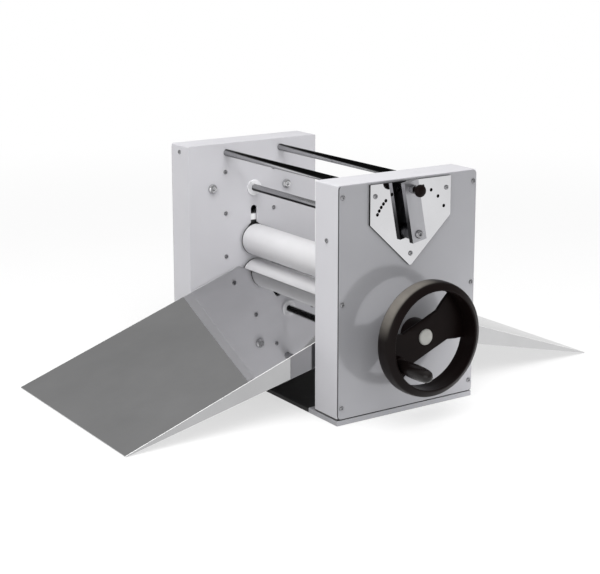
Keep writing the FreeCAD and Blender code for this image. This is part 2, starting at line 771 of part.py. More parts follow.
def lift_cam(word, side):
    """Cam whose lift grows evenly with the lever's turn: its flat follower sees rest + lift * angle."""
    rest = size("cam_rest") - size("follower_gap")
    lift = size("lift_per_radian")
    spare = size("cam_spare_angle")
    start = math.radians(-size("lever_thick_angle") - spare)
    stop = math.radians(size("lever_thin_angle") + spare)

    def flank(turn):
        reach = rest + lift * turn
        across = reach * math.sin(turn) + lift * math.cos(turn)
        return Vector(0, across, lift * math.sin(turn) - reach * math.cos(turn))

    steps = 8
    curve = Part.BSplineCurve()
    curve.interpolate([flank(start + (stop - start) * step / steps) for step in range(steps + 1)])
    back = size("cam_back")
    first_back = Vector(0, back * math.sin(start - math.pi / 4), -back * math.cos(start - math.pi / 4))
    last_back = Vector(0, back * math.sin(stop + math.pi / 4), -back * math.cos(stop + math.pi / 4))
    crown = Vector(0, 0, back)
    outline = Part.Wire([curve.toShape(), Part.LineSegment(flank(stop), last_back).toShape(),
                         Part.Arc(last_back, crown, first_back).toShape(),
                         Part.LineSegment(first_back, flank(start)).toShape()])
    width = size("cam_width")
    near = block_middle() - width / 2
    solid = Part.Face(outline).extrude(Vector(width, 0, 0))
    bore = Part.makeCylinder(size("adjuster_radius"), width, Vector(), Vector(1, 0, 0))
    cam = doc.addObject("Part::Feature", f"{word}_lift_cam")
    cam.Shape = solid.cut(bore)
    place(cam, (str(near if side > 0 else -near - width), "0", ADJUSTER_HEIGHT))
    node(f"{word}_lift_cam", cam)


def index_plate():
    holes = [("0", ADJUSTER_HEIGHT, "adjuster_radius + clear_gap")]
    for angle in [90 + turn for turn in IN_FEED_HOLES] + [90 - turn for turn in OUT_FEED_HOLES]:
        holes.append((*on_circle("index_radius", str(angle), z=ADJUSTER_HEIGHT), "index_hole"))
    top = f"{ADJUSTER_HEIGHT} + index_rise"
    shoulder = f"{ADJUSTER_HEIGHT} + index_shoulder_rise"
    tip = f"{ADJUSTER_HEIGHT} - index_drop"
    outline = [("-index_half_width", top), ("-index_half_width", shoulder), ("-index_tip_half", tip),
               ("index_tip_half", tip), ("index_half_width", shoulder), ("index_half_width", top)]
    node("index_plate", plate("index_plate", outline, "index_thickness", COVER_FACE, holes))
    inset = "(index_half_width - screw_margin / 2)"
    spots = [(f"-{inset}", f"{top} - screw_margin"), (inset, f"{top} - screw_margin"),
             ("0", f"{tip} + screw_margin")]
    heads = [button(f"index_screw_{number}", 1, (INDEX_FACE, y, z)) for number, (y, z) in enumerate(spots)]
    node("index_screws", group("index_screws", heads))


def tilted(piece):
    """Lean a lever piece drawn upright on the shaft's axis."""
    return place(piece, ("0", "0", ADJUSTER_HEIGHT), Rotation(Vector(1, 0, 0), size("lever_tilt")))


def lever():
    outline = [("-lever_half_width", "-lever_tail"), ("lever_half_width", "-lever_tail"),
               ("lever_half_width", "lever_length"), ("-lever_half_width", "lever_length")]
    holes = [("0", "index_radius", "pin_radius + running_gap")]
    arm = tilted(plate("lever_arm", outline, "lever_thickness", LEVER_BACK, holes))
    node("lever_arm", arm)
    hub_start = f"{INDEX_FACE} + pin_gap"
    node("lever_hub", tube("lever_hub", 1, "lever_hub_radius", "adjuster_radius", hub_start, LEVER_BACK,
                           "0", ADJUSTER_HEIGHT))
    node("lever_screw", button("lever_screw", 1, (LEVER_FACE, "0", ADJUSTER_HEIGHT), "X",
                               "lever_screw_radius", "lever_screw_height"))
    pin = on_circle("index_radius", "90 + lever_tilt", z=ADJUSTER_HEIGHT)
    barrel_end = f"{LEVER_FACE} + barrel_length"
    turn = TURN["X"]
    barrel = hexagon("plunger_barrel_body", "barrel_radius", "barrel_length", (LEVER_FACE, *pin), turn)
    bore = side_rod("plunger_barrel_bore", 1, "pin_radius + running_gap", LEVER_FACE, barrel_end, *pin)
    node("plunger_barrel", cut("plunger_barrel", barrel, bore))
    knob_start = f"{barrel_end} + pin_gap"
    neck_end = f"{knob_start} + knob_neck_length"
    node("index_pin", side_rod("index_pin", 1, "pin_radius", hub_start, neck_end, *pin))
    neck = tube("plunger_knob_neck", 1, "knob_neck", "pin_radius", knob_start, neck_end, *pin)
    cup = taper("plunger_knob_cup", "knob_neck", "knob_radius", "knob_length / 3",
                (neck_end, *pin), turn)
    crown_start = f"{neck_end} + knob_length / 3"
    crown = taper("plunger_knob_crown", "knob_radius", "0.6 * knob_radius", "2 * knob_length / 3",
                  (crown_start, *pin), turn)
    node("plunger_knob", fuse("plunger_knob", neck, cup, crown))


# Handwheel with its revolving handle

def wheel_window(sign):
    """One of the two openings beside the spoke, which flares out to the rim at both ends."""
    name = f"wheel_window_{'upper' if sign > 0 else 'lower'}"
    start = f"{COVER_FACE} + web_offset - cut_over"
    depth = "web_thickness + 2 * cut_over"
    disc = rod(f"{name}_disc", "rim_inner - window_inset", depth, (start, "0", "lower_height"))
    far_half = "(spoke_half_length + rim_inner)"
    far = "(spoke_half_width + rim_inner)"
    outline = [("-spoke_half_length", "spoke_half_width"), ("spoke_half_length", "spoke_half_width"),
               (far_half, far), (f"-{far_half}", far)]
    sector = plate(f"{name}_sector", outline, depth, start)
    place(sector, ("0", "0", "lower_height"), spoke_turn(sign))
    opening = doc.addObject("Part::Common", f"{name}_opening")
    opening.Base = disc
    opening.Tool = sector
    return rounded(name, opening, "web_corner", runs_along_x)


def spoke_turn(sign):
    return Rotation(Vector(1, 0, 0), size("spoke_angle") + (0 if sign > 0 else 180))


def wheel_rim():
    """Deep rim with a barrel-shaped outside and a tapered front."""
    front = "rim_depth - rim_front_taper"
    outline = [("0", "rim_inner"), ("0", "wheel_radius - 1.5 * rim_shoulder"),
               ("rim_shoulder", "wheel_radius - 0.2 * rim_shoulder"), ("2.5 * rim_shoulder", "wheel_radius"),
               (f"{front} - 1.5 * rim_shoulder", "wheel_radius - rim_shoulder / 20"),
               (front, "wheel_radius - 0.45 * rim_shoulder"),
               ("rim_depth - rim_lip / 2", "rim_inner + 2 * rim_lip"),
               ("rim_depth", "rim_inner + rim_lip"), ("rim_depth - rim_lip / 2", "rim_inner")]
    return turned("handwheel_rim", outline, (f"{COVER_FACE} + rim_offset", "0", "lower_height"))


def handwheel():
    web_start = f"{COVER_FACE} + web_offset"
    web = rod("handwheel_web", "rim_inner + rim_overlap", "web_thickness",
              (web_start, "0", "lower_height"))
    pierced = cut("handwheel_pierced", web, wheel_window(1), wheel_window(-1))
    hub_start = f"{COVER_FACE} + hub_offset"
    hub_end = f"{hub_start} + hub_length"
    hub = side_rod("handwheel_hub", 1, "hub_radius", hub_start, hub_end, "0", "lower_height")
    y, z = on_circle("handle_throw", "handle_angle", z="lower_height")
    boss_end = f"{web_start} + web_thickness + handle_boss_rise"
    boss = side_rod("handwheel_boss", 1, "handle_boss_radius", web_start, boss_end, y, z)
    whole = fuse("handwheel_whole", wheel_rim(), pierced, hub, boss)
    shaft_bore = side_rod("handwheel_bore", 1, "journal_radius", hub_start, hub_end, "0", "lower_height")
    spindle_bore = side_rod("handwheel_spindle_bore", 1, "spindle_radius", web_start, boss_end, y, z)
    node("handwheel", cut("handwheel", whole, shaft_bore, spindle_bore))
    node("hub_cap", taper("hub_cap", "cap_radius", "0.9 * cap_radius", "cap_thickness",
                          (hub_end, "0", "lower_height"), TURN["X"]))
    spindle_end = f"{boss_end} + spindle_length"
    node("handle_spindle", side_rod("handle_spindle", 1, "spindle_radius", web_start, spindle_end, y, z))
    grip_start = f"{boss_end} + grip_gap"
    bore = "(spindle_radius + running_gap)"
    outline = [("0", bore), ("0", "grip_base"), ("0.06 * grip_length", "grip_neck"),
               ("0.5 * grip_length", "grip_belly"), ("0.85 * grip_length", "0.9 * grip_belly"),
               ("0.96 * grip_length", "0.6 * grip_belly"), ("grip_length", "0.2 * grip_belly"),
               ("grip_length", "0"), ("spindle_length + clear_gap", "0"),
               ("spindle_length + clear_gap", bore)]
    node("handle_grip", turned("handle_grip", outline, (grip_start, y, z)))


# Dough trays

def tray(word, sign):
    """Polished sheet that hooks over its rod and runs to the table, with a wedge-shaped skirt each side."""
    rod_y = size("tray_rod_spread")
    rod_z = size("lower_height") + size("tray_rod_rise")
    reach = size(f"{word}_tray_reach")
    inside = size("tray_rod_radius") + size("tray_fit")
    outside = inside + size("tray_sheet")
    run = math.hypot(reach - rod_y, rod_z)
    slope = math.atan2(rod_z, reach - rod_y) + math.asin(inside / run)
    half = size("half_gap") - size("tray_side_gap")
    hook = math.radians(size("tray_hook_angle"))

    def spot(y, z, x=0.0):
        return Vector(x, sign * y, z)

    normal_y = math.sin(slope) * size("tray_sheet")
    normal_z = math.cos(slope) * size("tray_sheet")
    tip_low = spot(reach, 0, -half)
    tip_high = spot(reach + normal_y, normal_z, -half)

    def rod_point(radius, turned_by):
        angle = math.pi / 2 - slope + turned_by
        return spot(rod_y + radius * math.cos(angle), rod_z + radius * math.sin(angle), -half)

    section = Part.Wire([
        Part.LineSegment(tip_low, rod_point(inside, 0)).toShape(),
        Part.Arc(rod_point(inside, 0), rod_point(inside, hook / 2), rod_point(inside, hook)).toShape(),
        Part.LineSegment(rod_point(inside, hook), rod_point(outside, hook)).toShape(),
        Part.Arc(rod_point(outside, hook), rod_point(outside, hook / 2), rod_point(outside, 0)).toShape(),
        Part.LineSegment(rod_point(outside, 0), tip_high).toShape(),
        Part.LineSegment(tip_high, tip_low).toShape(),
    ])
    solid = Part.Face(section).extrude(Vector(2 * half, 0, 0))

    def under(y):
        return (reach - y) * math.tan(slope)

    inner = size("skirt_inner")
    corners = [spot(reach, 0), spot(inner, under(inner)), spot(inner, under(inner) - size("skirt_depth"))]
    wedge = Part.Face(Part.makePolygon(corners + corners[:1]))
    for start in (-half, half - size("tray_sheet")):
        skirt = wedge.extrude(Vector(size("tray_sheet"), 0, 0))
        skirt.translate(Vector(start, 0, 0))
        solid = solid.fuse(skirt)
    piece = doc.addObject("Part::Feature", f"{word}_tray")
    piece.Shape = solid.removeSplitter()
    node(f"{word}_tray", piece)


def build():
    base()
    for word, side in SIDES.items():
        housing_shell(word, side)
        cover_plate(word, side)
        cam_bridge(word, side)
        lower_bearing(word, side)
        guide_rails(word, side)
        lift_springs(word, side)
        bearing_block(word, side)
        follower(word, side)
        lift_cam(word, side)
    pairs = {"adjuster_bushes": adjuster_bush, "spring_seats": spring_seat, "upper_bushes": upper_bush,
             "locknuts": locknut}
    for name, make in pairs.items():
        node(name, group(name, [make(word, side) for word, side in SIDES.items()]))
    for name, make in {"cover_screws": cover_screws, "rail_screws": rail_screws}.items():
        node(name, group(name, [head for word, side in SIDES.items() for head in make(word, side)]))
    face_screws()
    tie_rods()
    tray_rods()
    bridge_bolts()
    roller("lower", "lower_height")
    roller("upper", UPPER_HEIGHT)
    roller_shaft("lower", "lower_height", f"{COVER_FACE} + hub_offset + hub_length")
    roller_shaft("upper", UPPER_HEIGHT, f"{BLOCK_FAR} + thread_spare")
    long_tooth_gear("lower", "lower_height", 0)
    long_tooth_gear("upper", UPPER_HEIGHT, 180 / size("gear_teeth"))
    adjuster_shaft()
    index_plate()
    lever()
    handwheel()
    for word, sign in ENDS.items():
        tray(word, sign)


def check():
    doc.recompute()
    faults = [item.Name for item in doc.Objects if {"Invalid", "Error"} & set(item.State)]
    faults += [item.Label for item in nodes if item.Shape.isNull() or not item.Shape.isValid()]
    if faults:
        raise RuntimeError(f"failed objects: {faults}")


def write():
    os.makedirs("parts", exist_ok=True)
    for item in nodes:
        item.Shape.exportStep(f"parts/{item.Label}.step")


build()
check()
write()
print(len(nodes), "nodes")
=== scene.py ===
import json
import math

import bmesh
import bpy
from mathutils import Matrix, Quaternion, Vector


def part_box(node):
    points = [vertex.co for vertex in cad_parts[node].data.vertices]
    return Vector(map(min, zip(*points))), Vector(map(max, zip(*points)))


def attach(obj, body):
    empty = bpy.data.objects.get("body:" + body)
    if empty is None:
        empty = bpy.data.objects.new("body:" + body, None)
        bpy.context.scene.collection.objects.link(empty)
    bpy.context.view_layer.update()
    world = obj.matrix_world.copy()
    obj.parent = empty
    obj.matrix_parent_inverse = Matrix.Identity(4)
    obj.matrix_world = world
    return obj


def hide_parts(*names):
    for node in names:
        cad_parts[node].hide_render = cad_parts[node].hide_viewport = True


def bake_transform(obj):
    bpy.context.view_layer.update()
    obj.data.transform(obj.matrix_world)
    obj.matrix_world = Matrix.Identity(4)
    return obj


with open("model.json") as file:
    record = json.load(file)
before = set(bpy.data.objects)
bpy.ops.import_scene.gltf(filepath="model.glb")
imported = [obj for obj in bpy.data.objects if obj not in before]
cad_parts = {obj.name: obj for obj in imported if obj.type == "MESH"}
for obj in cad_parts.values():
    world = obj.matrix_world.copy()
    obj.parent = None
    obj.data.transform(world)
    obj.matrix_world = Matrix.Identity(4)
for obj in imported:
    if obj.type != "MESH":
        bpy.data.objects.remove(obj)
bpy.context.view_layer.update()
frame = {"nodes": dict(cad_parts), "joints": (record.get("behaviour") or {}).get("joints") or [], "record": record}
nodes = frame["nodes"]
scene = bpy.context.scene
body_of_node = {name: body
                for body, names in frame["record"]["behaviour"]["bodies"].items()
                for name in names}
slot_of_node = {row["node"]: row["material_slot"] for row in frame["record"]["subparts"]}

MM = 0.001
ROUND = 96
FEW_SIDES = 32
KNOB_SIDES = 64
ROLLER_SIDES = 160

# Camera, solved from the housing corners in the 600 x 574 frame
IMAGE_WIDTH = 600
IMAGE_HEIGHT = 574
FOCAL_PIXELS = 1437.475
PRINCIPAL_PIXEL = (288.37, 224.06)
CAMERA_PLACE = (1.6089, -1.1077, 0.6268)
CAMERA_AZIMUTH = 56.548
CAMERA_ELEVATION = 12.016
CAMERA_ROLL = -0.117
SENSOR_WIDTH = 36.0


# Materials

class Shader:
    """A node material with short helpers for procedural detail."""

    def __init__(self, name):
        self.material = bpy.data.materials.new(name)
        self.material.use_nodes = True
        self.tree = self.material.node_tree
        self.surface = next(node for node in self.tree.nodes if node.type == "BSDF_PRINCIPLED")
        self.place = self.add("ShaderNodeTexCoord").outputs["Object"]
        self.last_bump = None

    def add(self, kind, **settings):
        node = self.tree.nodes.new(kind)
        for key, value in settings.items():
            setattr(node, key, value)
        return node

    def link(self, source, target):
        self.tree.links.new(source, target)

    def constant(self, **values):
        for key, value in values.items():
            self.surface.inputs[key.replace("_", " ")].default_value = value
        return self

    def stretched(self, scale):
        mapping = self.add("ShaderNodeMapping")
        mapping.inputs["Scale"].default_value = scale
        self.link(self.place, mapping.inputs["Vector"])
        return mapping.outputs["Vector"]

    def noise(self, scale, detail=3.0, stretch=(1, 1, 1), roughness=0.55):
        node = self.add("ShaderNodeTexNoise")
        node.inputs["Scale"].default_value = scale
        node.inputs["Detail"].default_value = detail
        node.inputs["Roughness"].default_value = roughness
        self.link(self.stretched(stretch), node.inputs["Vector"])
        return node.outputs["Fac"]

    def rings(self, scale, distortion):
        node = self.add("ShaderNodeTexWave", wave_type="BANDS", bands_direction="X")
        node.inputs["Scale"].default_value = scale
        node.inputs["Distortion"].default_value = distortion
        self.link(self.place, node.inputs["Vector"])
        return node.outputs["Fac"]

    def ramp(self, value, low, high, dark, light):
        node = self.add("ShaderNodeValToRGB")
        node.color_ramp.elements[0].position = low
        node.color_ramp.elements[1].position = high
        node.color_ramp.elements[0].color = (*dark, 1)
        node.color_ramp.elements[1].color = (*light, 1)
        self.link(value, node.inputs["Fac"])
        return node.outputs["Color"]

    def mottle(self, value, colour, darkest, lightest, low=0.3, high=0.7):
        """Colour that wanders between two shares of itself."""
        return self.ramp(value, low, high, tone(colour, darkest), tone(colour, lightest))

    def between(self, value, low, high):
        node = self.add("ShaderNodeMapRange")
        node.inputs["To Min"].default_value = low
        node.inputs["To Max"].default_value = high
        self.link(value, node.inputs["Value"])
        return node.outputs["Result"]

    def mix(self, amount, first, second):
        node = self.add("ShaderNodeMix", data_type="RGBA")
        self.link(amount, node.inputs["Factor"])
        self.link(first, node.inputs[6])
        self.link(second, node.inputs[7])
        return node.outputs[2]

    def calc(self, operation, *values):
        node = self.add("ShaderNodeMath", operation=operation)
        for value, socket in zip(values, node.inputs):
            self.link(value, socket)
        return node.outputs["Value"]

    def vector(self, operation, first, second, output="Value"):
        """Vector maths on an output and a fixed vector."""
        node = self.add("ShaderNodeVectorMath", operation=operation)
        self.link(first, node.inputs[0])
        node.inputs[1].default_value = second
        return node.outputs[output]

    def worn_edges(self):
        """Mask of edges, broken up by noise."""
        bevel = self.add("ShaderNodeBevel", samples=4)
        bevel.inputs["Radius"].default_value = WORN_WIDTH
        turn = self.add("ShaderNodeVectorMath", operation="DOT_PRODUCT")
        self.link(bevel.outputs["Normal"], turn.inputs[0])
        self.link(self.add("ShaderNodeNewGeometry").outputs["Normal"], turn.inputs[1])
        return self.calc("MULTIPLY", self.step(turn.outputs["Value"], 0.995, 0.9), self.noise(90))

    def normal(self, axis):
        return self.part_of(self.add("ShaderNodeTexCoord").outputs["Normal"], axis)

    def along(self, axis):
        return self.part_of(self.place, axis)

    def seen_along_x(self):
        """Place with its X left out."""
        flat = self.add("ShaderNodeCombineXYZ")
        for axis in "YZ":
            self.link(self.along(axis), flat.inputs[axis])
        return flat.outputs["Vector"]

    def step(self, value, start, stop):
        """Rise from 0 to 1 between two values."""
        node = self.add("ShaderNodeMapRange", interpolation_type="SMOOTHSTEP")
        node.inputs["From Min"].default_value = start
        node.inputs["From Max"].default_value = stop
        self.link(value, node.inputs["Value"])
        return node.outputs["Result"]

    def part_of(self, vector, axis):
        split = self.add("ShaderNodeSeparateXYZ")
        self.link(vector, split.inputs["Vector"])
        return split.outputs[axis]

    def colour(self, output):
        self.link(output, self.surface.inputs["Base Color"])

    def rough(self, output):
        self.link(output, self.surface.inputs["Roughness"])

    def bump(self, height, strength, distance):
        node = self.add("ShaderNodeBump")
        node.inputs["Strength"].default_value = strength
        node.inputs["Distance"].default_value = distance
        self.link(height, node.inputs["Height"])
        if self.last_bump:
            self.link(self.last_bump, node.inputs["Normal"])
        self.last_bump = node.outputs["Normal"]
        self.link(self.last_bump, self.surface.inputs["Normal"])


def tone(colour, factor):
    return tuple(channel * factor for channel in colour)


def grey(value):
    return (value, value, value)


# Where painted marks begin and end, in metres
WORN_WIDTH = 0.0014
# Painted shadow lines in a housing's gaps, and a painted crescent of shade above the roller
COVER_GAP_SHADOW = (0.2082, 0.2089)
FOOT_GAP_SHADOW = (0.0099, 0.0092)
ROLLER_SHADE_CENTRE = (0, 0, 0.1752)
ROLLER_SHADE_RADIUS = (0.0121, 0.0115)
LOW_SHADE_HEIGHT = (0.15, -0.01)
TRAY_FOLD_HIGHLIGHT = (0.1548, 0.1552)
LEVER_SHADE_HEIGHT = (0.305, 0.25)
BLOCK_SHADE_HEIGHT = (0.1893, 0.1885)
WHEEL_AXIS = Vector((0, 0, 0.1085))
RIM_BARREL = (0.0733, 0.0748)
HIGHLIGHT_SIDE = (0, -0.6, 0.8)
HIGHLIGHT_REACH = (0.05, 0.0735)


def painted(name, colour, roughness=0.42, painted_front_tone=None, painted_shadows=False, shaded_low=False, shine=0.5):
    """Powder coat: fine orange peel, faint cloudiness, paler worn edges.

    Faces toward the in-feed can take a tone of their own, as painted shade. Painted shadows are dark lines
    painted in a housing's gaps and a crescent of painted shade above the roller, and painted shade darkens the
    coat towards the table.
    """
    shader = Shader(name).constant(Specular_IOR_Level=shine)
    cloud = shader.mottle(shader.noise(7, 4), colour, 0.965, 1.03)
    edge = shader.mottle(shader.noise(40), colour, 1.12, 1.22, 0.2, 0.8)
    paint = shader.mix(shader.worn_edges(), cloud, edge)
    in_feed = shader.step(shader.normal("Y"), -0.3, -0.6)
    height = shader.along("Z")
    # Faces toward the in-feed take their own tone as painted shade: the cover's dark edges stand for the shadow in
    # its gap, the plinth's front and side form a lit and shaded pair
    if painted_front_tone:
        painted_tone = shader.mottle(shader.noise(40), painted_front_tone, 0.8, 1.2, 0.2, 0.8)
        paint = shader.mix(in_feed, paint, painted_tone)
    # Painted shade: the coat grows darker towards the table, for the shade low on the housing
    if shaded_low:
        low_shade = shader.mottle(shader.noise(7, 4), colour, 0.66, 0.72)
        paint = shader.mix(shader.step(height, *LOW_SHADE_HEIGHT), paint, low_shade)
    # Painted shadows: dark lines for the shadow in the gaps at the cover and at the plinth, and a dark crescent of
    # painted shade on the inner wall above the roller
    if painted_shadows:
        side = shader.calc("ABSOLUTE", shader.along("X"))
        cover_gap_shadow = shader.calc("MULTIPLY", in_feed, shader.step(side, *COVER_GAP_SHADOW))
        foot_gap_shadow = shader.step(height, *FOOT_GAP_SHADOW)
        away = shader.vector("DISTANCE", shader.seen_along_x(), ROLLER_SHADE_CENTRE)
        dark = shader.calc("MAXIMUM", shader.calc("MAXIMUM", cover_gap_shadow, foot_gap_shadow),
                           shader.step(away, *ROLLER_SHADE_RADIUS))
        painted_dark = shader.ramp(shader.noise(80, 4), 0.3, 0.7, grey(0.008), grey(0.02))
        paint = shader.mix(dark, paint, painted_dark)
    shader.colour(paint)
    shader.rough(shader.between(shader.noise(60, 5), roughness - 0.07, roughness + 0.08))
    shader.bump(shader.noise(900, 2), 0.05, 0.0002)
    return shader.material


def polished(name, colour, roughness, painted_flank=None, fold_highlight=False):
    """Polished steel with faint drawing lines and soft smears.

    Faces toward ±X can take a tone of their own, as painted reflection and shade, and a tray's folds a painted
    highlight.
    """
    shader = Shader(name).constant(Metallic=1.0, Specular_Tint=(0.62, 0.62, 0.62, 1))
    grain = (1, 60, 60)
    cloud = shader.noise(9, 5, roughness=0.6)
    steel = shader.mottle(cloud, colour, 0.94, 1.05, 0.3, 0.72)
    turned = shader.calc("ABSOLUTE", shader.normal("X"))
    # Faces toward ±X and the others take separate tones as painted reflection and shade: darker skirts on the
    # front tray, lighter skirts on the rear tray, edges painted dark as shadow on the index plate
    if painted_flank:
        flank_shade = shader.mottle(cloud, painted_flank, 0.94, 1.05, 0.3, 0.72)
        steel = shader.mix(shader.step(turned, 0.6, 0.9), steel, flank_shade)
    # Painted highlight: a pale, non-metal band along a tray's folds, for the light that the fold catches
    if fold_highlight:
        near_fold = shader.step(shader.calc("ABSOLUTE", shader.along("X")), *TRAY_FOLD_HIGHLIGHT)
        fold = shader.calc("MULTIPLY", near_fold, shader.step(turned, 0.97, 0.85))
        fold_glint = shader.ramp(shader.noise(60), 0.3, 0.7, grey(0.66), grey(0.84))
        steel = shader.mix(fold, steel, fold_glint)
        shader.link(shader.between(fold, 1.0, 0.0), shader.surface.inputs["Metallic"])
    shader.colour(steel)
    shader.rough(shader.between(shader.noise(14, 6, stretch=grain), roughness * 0.5, roughness * 1.6))
    shader.bump(shader.noise(220, 3, stretch=grain), 0.004, 0.0001)
    return shader.material


def machined(name, colour, roughness=0.32):
    shader = Shader(name).constant(Metallic=1.0)
    shader.colour(shader.mottle(shader.noise(120, 4), colour, 0.85, 1.1))
    shader.rough(shader.between(shader.noise(260, 3), roughness - 0.1, roughness + 0.12))
    shader.bump(shader.noise(1200, 2), 0.06, 0.0001)
    return shader.material


def moulded(name, colour, roughness, coat=0.0, shine=0.5):
    """Moulded plastic: soft mottling, fine skin texture, rubbed edges."""
    shader = Shader(name).constant(Coat_Weight=coat, Coat_Roughness=0.12, Specular_IOR_Level=shine)
    base = shader.mottle(shader.noise(30, 4), colour, 0.85, 1.15)
    wear_and_highlight = shader.mottle(shader.noise(60), colour, 1.6, 2.2, 0.2, 0.8)
    shader.colour(shader.mix(shader.worn_edges(), base, wear_and_highlight))
    shader.rough(shader.between(shader.noise(45, 5), roughness - 0.06, roughness + 0.1))
    shader.bump(shader.noise(1400, 2), 0.05, 0.0001)
    return shader.material


def half_black(name, bright, dark_side, spread=0.0):
    """Drawn bar, bright on one half, with painted dark reflection on its upper (1) or lower (-1) half.

    The painted dark reflection can spread right round the bar toward +X.
    """
    shader = Shader(name).constant(Metallic=1.0, Specular_Tint=(0.5, 0.5, 0.5, 1))
    grain = shader.noise(50, 4, stretch=(0.2, 1, 1))
    steel = shader.mottle(grain, bright, 0.9, 1.08)
    painted_dark = shader.ramp(grain, 0.3, 0.7, grey(0.006), grey(0.012))
    height = shader.normal("Z")
    if spread:
        level = shader.add("ShaderNodeMath", operation="MULTIPLY_ADD")
        shader.link(shader.along("X"), level.inputs[0])
        level.inputs[1].default_value = spread
        shader.link(height, level.inputs[2])
        height = level.outputs["Value"]
    shader.colour(shader.mix(shader.step(height, -0.15 * dark_side, 0.25 * dark_side), steel, painted_dark))
    shader.rough(shader.between(shader.noise(40, 5, stretch=(0.1, 1, 1)), 0.16, 0.3))
    shader.bump(shader.noise(400, 2, stretch=(0.05, 1, 1)), 0.03, 0.0001)
    return shader.material


def lever_bar(name, colour):
    """Satin bar with painted shade: dark on its back and on the lower part of its in-feed side."""
    shader = Shader(name).constant(Metallic=1.0)
    grain = shader.noise(60, 4, stretch=(1, 1, 0.15))
    satin = shader.mottle(grain, colour, 0.94, 1.06)
    lever_shade = shader.ramp(grain, 0.3, 0.7, (0.012, 0.012, 0.013), (0.022, 0.022, 0.024))
    side = shader.step(shader.normal("Y"), -0.4, -0.8)
    low = shader.step(shader.along("Z"), *LEVER_SHADE_HEIGHT)
    back = shader.step(shader.normal("X"), -0.4, -0.8)
    # Painted shade: the back, which the index plate reflects, and the lower part of the in-feed side are dark
    shaded = shader.calc("MAXIMUM", shader.calc("MULTIPLY", side, low), back)
    shader.colour(shader.mix(shaded, satin, lever_shade))
    shader.rough(shader.between(shader.noise(150, 3, stretch=(1, 1, 0.1)), 0.36, 0.5))
    shader.bump(shader.noise(600, 2, stretch=(1, 1, 0.05)), 0.03, 0.0001)
    return shader.material


def highlit_rim(name, colour, wear_and_highlight):
    """Black moulding with a painted highlight: a grey patch on the upper side of its outer barrel."""
    shader = Shader(name).constant(Specular_IOR_Level=0.1)
    place = shader.seen_along_x()
    barrel = shader.step(shader.vector("DISTANCE", place, WHEEL_AXIS), *RIM_BARREL)
    from_axis = shader.vector("SUBTRACT", place, WHEEL_AXIS, "Vector")
    toward_light = shader.step(shader.vector("DOT_PRODUCT", from_axis, HIGHLIGHT_SIDE), *HIGHLIGHT_REACH)
    # Painted highlight: grey on the outer barrel, on its upper side toward -Y
    highlight_mask = shader.calc("MULTIPLY", barrel, toward_light)
    patch = shader.calc("MULTIPLY", highlight_mask, shader.between(shader.noise(35, 4), 0.45, 1.0))
    base = shader.mottle(shader.noise(30, 4), colour, 0.85, 1.15)
    painted_tone = shader.mottle(shader.noise(30, 4), wear_and_highlight, 0.85, 1.15)
    shader.colour(shader.mix(patch, base, painted_tone))
    shader.rough(shader.between(shader.noise(45, 5), 0.3, 0.46))
    shader.bump(shader.noise(1400, 2), 0.05, 0.0001)
    return shader.material


def block_plastic(name, colour):
    """White block whose foot is painted dark, as painted shade in the slot below it."""
    shader = Shader(name)
    clean = shader.mottle(shader.noise(30, 4), colour, 0.95, 1.02)
    foot_shade = shader.ramp(shader.noise(80, 4), 0.3, 0.7, grey(0.008), grey(0.015))
    # Painted shade: the block goes dark below a set height, where it sits in the shade of the slot
    shader.colour(shader.mix(shader.step(shader.along("Z"), *BLOCK_SHADE_HEIGHT), clean, foot_shade))
    shader.rough(shader.between(shader.noise(45, 5), 0.35, 0.5))
    shader.bump(shader.noise(1400, 2), 0.05, 0.0001)
    return shader.material


def turned_plastic(name, colour):
    """White roller sleeve: fine lathe rings and a faint floury cloud."""
    shader = Shader(name).constant(Subsurface_Weight=0.04, Subsurface_Radius=(0.002, 0.002, 0.002))
    shader.colour(shader.mottle(shader.noise(24, 5), colour, 0.95, 1.02, 0.3, 0.75))
    shader.rough(shader.between(shader.noise(80, 4, stretch=(6, 1, 1)), 0.3, 0.46))
    shader.bump(shader.rings(900, 0.6), 0.04, 0.00008)
    shader.bump(shader.noise(700, 2), 0.04, 0.00008)
    return shader.material


BLACK = (0.0040, 0.0022, 0.0020)
HOUSING_GREY = (0.63, 0.625, 0.655)
MATERIALS = {
    # Housings: painted shadow lines in their gaps and a painted crescent of shade above the roller
    "housing_paint": painted("housing_paint", HOUSING_GREY, painted_shadows=True),
    # Cover: the housing grey darkened as painted shade of its side, with its edges painted dark as the shadow in
    # its gap
    "cover_paint": painted("cover_paint", (0.27, 0.27, 0.285), painted_front_tone=(0.02, 0.02, 0.021)),
    "base_paint": painted("base_paint", (0.009, 0.0085, 0.0085), 0.5, shine=0.2),
    # Polished steel: its ±X faces darker as painted reflection, with a painted highlight along a tray's folds
    "polished_steel": polished("polished_steel", (0.62, 0.62, 0.625), 0.035, (0.42, 0.42, 0.425), True),
    "screw_steel": machined("screw_steel", (0.30, 0.30, 0.31), 0.26),
    "machined_steel": machined("machined_steel", (0.45, 0.45, 0.47)),
    "spring_steel": machined("spring_steel", (0.06, 0.06, 0.065), 0.4),
    "bronze": machined("bronze", (0.58, 0.38, 0.16)),
    "roller_plastic": turned_plastic("roller_plastic", (0.74, 0.735, 0.75)),
    "bush_plastic": moulded("bush_plastic", (0.66, 0.66, 0.68), 0.4),
    "cap_plastic": moulded("cap_plastic", (0.27, 0.27, 0.256), 0.4, 0.1),
    "black_plastic": moulded("black_plastic", BLACK, 0.34, 0.0, 0.07),
    "seal_rubber": moulded("seal_rubber", (0.012, 0.012, 0.012), 0.6),
    "lever_metal": machined("lever_metal", (0.50, 0.50, 0.53), 0.42),
}
GRIP_PLASTIC = moulded("grip_plastic", (0.0045, 0.0032, 0.0030), 0.24, 0.0, 0.3)
